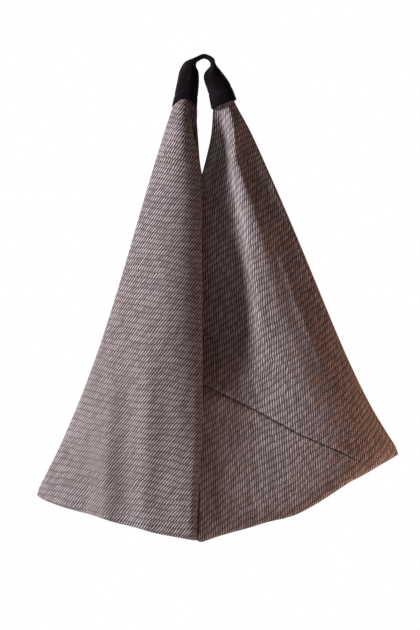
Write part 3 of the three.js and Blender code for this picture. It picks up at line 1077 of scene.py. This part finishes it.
def station_at(share):
    """The sleeve's section at a share of its length, from the left mouth to the right one."""
    last = len(SLEEVE_STATIONS) - 1
    index = min(int(share * last), last - 1)
    near = [astuple(SLEEVE_STATIONS[min(max(index + offset, 0), last)]) for offset in (-1, 0, 1, 2)]
    return Station(*(through(*values, share * last - index) for values in zip(*near)))


print("top of the sleeve's arch:", station_at(0.5))

# %% [markdown]
# ### Sewing the tube
# The sleeve's mouths are not cut straight: the left one is arched and the right one slants. A turned hem
# with a line of stitching ends each mouth, and long creases run where the tube is pressed flat. A bump
# would do for the creases, but they also show at the edge of the tube, so its corners are moved.

# %% Make the sleeve
SLEEVE_COLUMNS = 56
SLEEVE_ROWS = 120
SLEEVE_THICKNESS = 0.0013
SLEEVE_FLAT = (0.082, 0.132)
MOUTH_ARCH = 0.004
MOUTH_DIP = 0.002
MOUTH_SLANT = 0.0055
MOUTH_RUN = 0.25
HEM_STITCH_ROW = 9
HEM_GROOVE = 0.0005
HEM_GROOVE_SPREAD = 0.8
CREASE = 0.0005
CREASE_COUNT = 7
CREASE_TWIST = 9


def mouth_offset(share, angle):
    """How far the tube's edge is moved along the leg at its two mouths."""
    at_left = 1 - smooth_step(0, MOUTH_RUN, share)
    at_right = smooth_step(1 - MOUTH_RUN, 1, share)
    arch = MOUTH_ARCH * math.cos(2 * angle) + MOUTH_DIP * max(-math.cos(angle), 0) ** 2
    return MOUTH_SLANT * math.cos(angle) * at_right - arch * at_left


def ripple(row, angle):
    """How far the tube's wall stands out in its creases, and in at the hem's stitching."""
    share = row / SLEEVE_ROWS
    to_hem = min(abs(row - HEM_STITCH_ROW), abs(SLEEVE_ROWS - HEM_STITCH_ROW - row))
    creases = CREASE * math.sin(math.pi * share) * math.sin(CREASE_COUNT * angle + CREASE_TWIST * share)
    return creases - HEM_GROOVE * hump(to_hem, 0, HEM_GROOVE_SPREAD)


def sleeve_point(column, row):
    share = row / SLEEVE_ROWS
    angle = math.tau * column / SLEEVE_COLUMNS
    here = station_at(share)
    inner = Vector((here.inner_x, 0, here.inner_z))
    half_section = (Vector((here.outer_x, 0, here.outer_z)) - inner) / 2
    stretch = 1 + ripple(row, angle) / half_section.length
    point = inner + half_section + half_section * stretch * math.cos(angle)
    point.y += (here.half_depth + ripple(row, angle)) * math.sin(angle)
    point.z += mouth_offset(share, angle)
    return point


def sleeve_map(points):
    lengths = {(column, 0): 0.0 for column in range(SLEEVE_COLUMNS + 1)}
    for row in range(1, SLEEVE_ROWS + 1):
        for column in range(SLEEVE_COLUMNS + 1):
            step = (points[column, row] - points[column, row - 1]).length
            lengths[column, row] = lengths[column, row - 1] + step

    def flat_place(_, column, row):
        return SLEEVE_FLAT[0] * column / SLEEVE_COLUMNS, lengths[column, row]

    return flat_place


def make_sleeve():
    form = shaped_grid(SLEEVE_COLUMNS, SLEEVE_ROWS, sleeve_point)
    write_map(form, sleeve_map(grid_points(form)))
    weld(form)
    return add_piece("sleeve", form, black_cloth, SLEEVE_THICKNESS)


sleeve = make_sleeve()
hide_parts("sleeve_crown", "sleeve_left_leg", "sleeve_right_leg", "left_cuff", "right_cuff")
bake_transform(sleeve)

# %% [markdown]
# ## Stitches
# Along each seam lies a row of short stitches, half sunk in the groove. They could be a pattern in the
# cloth's material, but real rods catch the light and follow the seam. Each is laid between two points that
# the wall's own formula gives, and is a sphere pulled apart at its middle.

# %% Make the seam stitches
STITCH_RADIUS = 0.00045
STITCH_SINK = 0.0012
STITCHES_START = 0.04
STITCHES_END = SEAM_STOP - 0.03
SEAM_STEPS = 108


def seam_line(side):
    """Points along the groove of a side's seam, as seen at the front right."""
    line = []
    for index in range(SEAM_STEPS + 1):
        across = mix(STITCHES_START, STITCHES_END, index / SEAM_STEPS)
        point = wall_point(across, seam_down(across), side)
        point.y += STITCH_SINK
        line.append(point)
    return line


def add_rod(form, start, end, radius):
    """A rod with rounded ends between two points."""
    heading = end - start
    made = bmesh.ops.create_uvsphere(form, u_segments=8, v_segments=6, radius=radius)["verts"]
    turn = Vector((0, 0, 1)).rotation_difference(heading)
    for corner in made:
        stretch = heading.length / 2 if corner.co.z > 0 else -heading.length / 2
        corner.co = (start + end) / 2 + turn @ (corner.co + Vector((0, 0, stretch)))


def make_stitches(name, line, place_in_bag):
    form = bmesh.new()
    for start, end in zip(line[:-1:2], line[1::2]):
        add_rod(form, place_in_bag(start), place_in_bag(end), STITCH_RADIUS)
    return add_piece(name, form, thread)


front_stitches = make_stitches("front_stitches", seam_line(RIGHT), lambda point: point)
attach(front_stitches, "right_side")
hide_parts("front_seam_thread")
back_stitches = make_stitches("back_stitches", seam_line(LEFT), turned)
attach(back_stitches, "left_side")
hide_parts("back_seam_thread")

# %% [markdown]
# ## Background and floor
# The bag is seen before plain white. More light would give that too, but it would bleach the cloth. So the
# world is white only for rays that show it directly, and a weak warm light for all others. The floor is
# white in the same way further out. Under the bag it is paler, with a trace of the bag's own shade.

# %% The white ground
WHITE = (1, 1, 1, 1)
FILL = (0.086, 0.034, 0.025, 1)
FLOOR_COLOUR = (0.8, 0.79, 0.78, 1)
FLOOR_HEIGHT = -0.75
FLOOR_SIZE = 60
FLOOR_WHITENESS = 0.72
FLOOR_PALE_SPAN = (0.25, 0.5)


def seen_directly(wire):
    """1 for rays that show the background itself, 0 for rays that carry light."""
    path = wire.node("ShaderNodeLightPath")
    return path.pick("Is Camera Ray") + path.pick("Is Glossy Ray") + path.pick("Is Transmission Ray")


def make_world():
    world = bpy.data.worlds.new("studio")
    world.use_nodes = True
    world.node_tree.nodes.clear()
    wire = Wire(world.node_tree)
    fill = wire.node("ShaderNodeBackground", inputs={"Color": FILL})
    white = wire.node("ShaderNodeBackground", inputs={"Color": WHITE})
    both = wire.node("ShaderNodeMixShader", inputs={0: seen_directly(wire), 1: fill, 2: white})
    wire.node("ShaderNodeOutputWorld", inputs={"Surface": both})
    bpy.context.scene.world = world


def make_floor_material():
    material, wire = new_material("pale floor")
    place = wire.node("ShaderNodeTexCoord", output="Object")
    under_bag = (0, 0, FLOOR_HEIGHT)
    distance = wire.node(
        "ShaderNodeVectorMath", {"operation": "DISTANCE"}, {0: place, 1: under_bag}, output="Value")
    whiteness = FLOOR_WHITENESS + (1 - FLOOR_WHITENESS) * distance.step(*FLOOR_PALE_SPAN)
    pale = wire.node("ShaderNodeBsdfDiffuse", inputs={"Color": FLOOR_COLOUR})
    white = wire.node("ShaderNodeEmission", inputs={"Color": WHITE, "Strength": 1.0})
    both = wire.node("ShaderNodeMixShader", inputs={0: seen_directly(wire) * whiteness, 1: pale, 2: white})
    wire.node("ShaderNodeOutputMaterial", inputs={"Surface": both})
    return material


def make_floor():
    form = bmesh.new()
    bmesh.ops.create_grid(form, x_segments=1, y_segments=1, size=FLOOR_SIZE / 2)
    for corner in form.verts:
        corner.co.z = FLOOR_HEIGHT
    return add_piece("floor", form, make_floor_material())


make_world()
floor = make_floor()

# %% [markdown]
# ## Lamps and camera
# The bag is lit from the left, a little from above, by one soft lamp, and a weak warm lamp low on the right
# lights the corner there. A sun lamp would draw harder shadow edges than the folds have, so both are area
# lamps. The camera looks level at the middle of the bag through a long lens.

# %% The studio
KEY_PLACE = Vector((-1.9, -0.78, 0.3))
KEY_SIZE = 0.38
KEY_POWER = 74
KEY_COLOUR = (1, 0.97, 0.98)
WARM_PLACE = Vector((0.46, -0.03, -0.52))
WARM_SIZE = 0.35
WARM_POWER = 1.2
WARM_COLOUR = (1, 0.55, 0.34)
BAG_CENTRE = Vector((0, 0, -0.3))
CAMERA_PLACE = Vector((0.0069, -2.3, -0.2967))
LENS = 114.29


def add_lamp(name, place, size, power, colour):
    data = bpy.data.lights.new(name, "AREA")
    data.size = size
    data.energy = power
    data.color = colour
    lamp = bpy.data.objects.new(name, data)
    lamp.location = place
    lamp.rotation_euler = (BAG_CENTRE - place).to_track_quat("-Z", "Y").to_euler()
    bpy.context.scene.collection.objects.link(lamp)
    print(name, "lamp of", power, "W,", (BAG_CENTRE - place).length, "m away")


add_lamp("key", KEY_PLACE, KEY_SIZE, KEY_POWER, KEY_COLOUR)
add_lamp("warm fill", WARM_PLACE, WARM_SIZE, WARM_POWER, WARM_COLOUR)
camera = bpy.data.objects.new("camera", bpy.data.cameras.new("camera"))
camera.location = CAMERA_PLACE
camera.rotation_euler = (math.radians(90), 0, 0)
camera.data.lens = LENS
bpy.context.scene.collection.objects.link(camera)
bpy.context.scene.camera = camera
bpy.context.scene.view_settings.view_transform = "Standard"

# %% [markdown]
